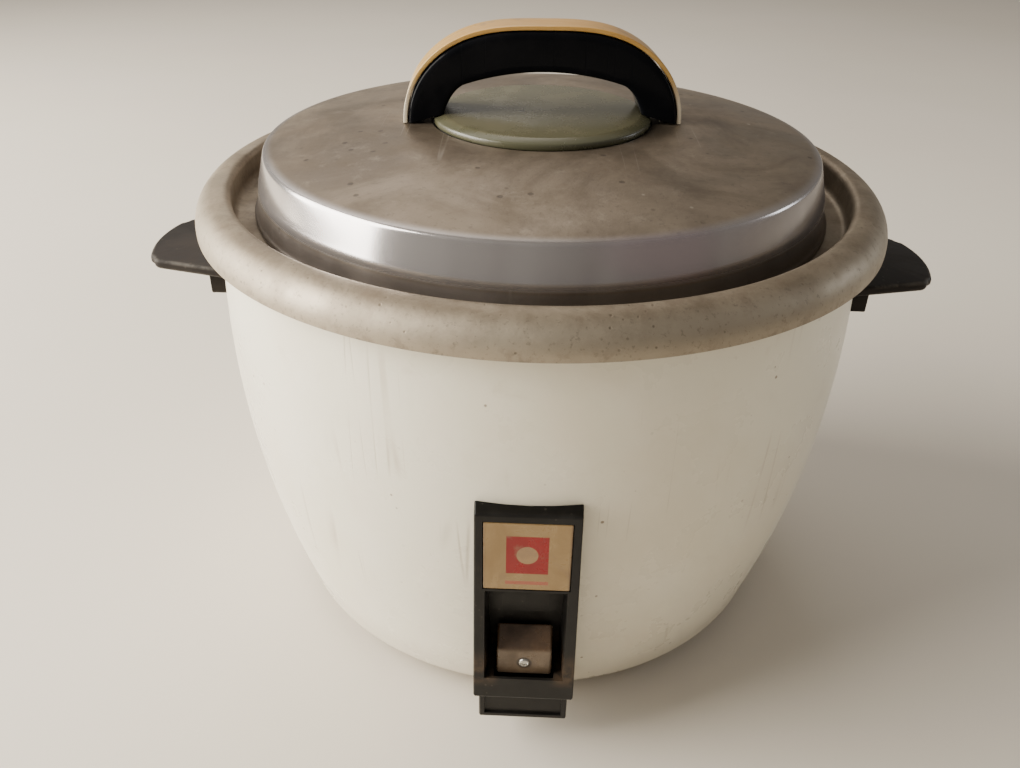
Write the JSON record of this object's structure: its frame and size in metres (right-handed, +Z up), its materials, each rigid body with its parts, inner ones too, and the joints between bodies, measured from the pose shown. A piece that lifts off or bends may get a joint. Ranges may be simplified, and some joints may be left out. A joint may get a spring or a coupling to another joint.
{
  "type": "rice cooker",
  "caption": "Round rice cooker with a painted body, wide-rimmed inner pan, domed lid with a window, and a press-down cook switch.",
  "frame": {"origin": "on the table, under the middle of the cooker", "axes": "+Z up, -Y towards the switch on the front, +X along the side handles to the right"},
  "size_m": [0.3498, 0.2902, 0.2616],
  "materials": {
    "enamel": "semi-gloss cream enamel",
    "pan_aluminium": "dull oxidised aluminium",
    "lid_aluminium": "worn aluminium with a polished band",
    "cast_aluminium": "cast and machined",
    "bakelite": "black moulded bakelite",
    "ivory": "aged ivory plastic",
    "button": "aged translucent plastic",
    "label": "aged cream plastic with a plain coloured mark",
    "glass": "pale green glass",
    "steel": "zinc plated",
    "spring": "spring steel",
    "rubber": "matte black",
    "ferrite": "sintered grey",
    "brass": "bare",
    "wire": "glass-braid sleeve"
  },
  "bodies": {
    "root": {"base_plate": "steel", "contact_blade_1": "brass", "contact_blade_2": "brass", "contact_block": "bakelite", "contact_spacer": "bakelite", "foot_1": "rubber", "foot_2": "rubber", "foot_3": "rubber", "foot_4": "rubber", "foot_screw_1": "steel", "foot_screw_2": "steel", "foot_screw_3": "steel", "foot_screw_4": "steel", "heat_shield": "steel", "heater_leg_1": "steel", "heater_leg_2": "steel", "heater_leg_3": "steel", "heater_plate": "cast_aluminium", "heating_element": "steel", "housing_lower_cover": "bakelite", "housing_screw_1": "steel", "housing_screw_2": "steel", "inlet_housing": "bakelite", "inlet_pin_1": "brass", "inlet_pin_2": "brass", "label_lens": "label", "lever_bracket": "steel", "lever_pin": "spring", "outer_body": "enamel", "pilot_lamp": "glass", "return_spring": "spring", "sensor_spring": "spring", "side_handle_left": "bakelite", "side_handle_right": "bakelite", "switch_housing": "bakelite", "thermal_fuse": "steel", "thermostat_cup": "steel", "wing_screw_left_1": "steel", "wing_screw_left_2": "steel", "wing_screw_right_1": "steel", "wing_screw_right_2": "steel", "wire_live": "wire", "wire_neutral": "wire"},
    "pan": {"inner_pan": "pan_aluminium"},
    "lid": {"lid_shell": "lid_aluminium", "window_gasket": "rubber", "lid_window": "glass", "lid_handle": "bakelite", "handle_strip": "ivory", "handle_screw_1": "steel", "handle_screw_2": "steel"},
    "lever": {"switch_lever": "steel", "switch_button": "button", "button_screw": "steel"},
    "sensor": {"sensor_cap": "lid_aluminium", "sensor_ferrite": "ferrite"},
    "plunger": {"plunger_magnet": "ferrite", "plunger_rod": "brass"}
  },
  "joints": [
    {"name": "pan_lift", "type": "slide", "parent": "root", "child": "pan", "axis": [0, 0, 1], "range_m": [0, 0.2]},
    {"name": "lid_lift", "type": "slide", "parent": "pan", "child": "lid", "axis": [0, 0, 1], "range_m": [0, 0.12]},
    {"name": "switch_press", "type": "hinge", "parent": "root", "child": "lever", "pos_m": [0, -0.08, 0.035], "axis": [1, 0, 0], "range_deg": [0, 4.5], "stiffness_Nm_per_rad": 1.2, "springref_deg": -6.88, "deforming": ["return_spring"]},
    {"name": "magnet_rise", "type": "slide", "parent": "root", "child": "plunger", "axis": [0, 0, 1], "range_m": [0, 0.00648]},
    {"name": "sensor_press", "type": "slide", "parent": "root", "child": "sensor", "axis": [0, 0, 1], "range_m": [-0.002, 0], "stiffness_N_per_m": 800, "springref_m": 0.002, "deforming": ["sensor_spring"]}
  ],
  "couplings": [
    {"joint": "magnet_rise", "follows": "switch_press", "m_per_rad": 0.07992}
  ]
}
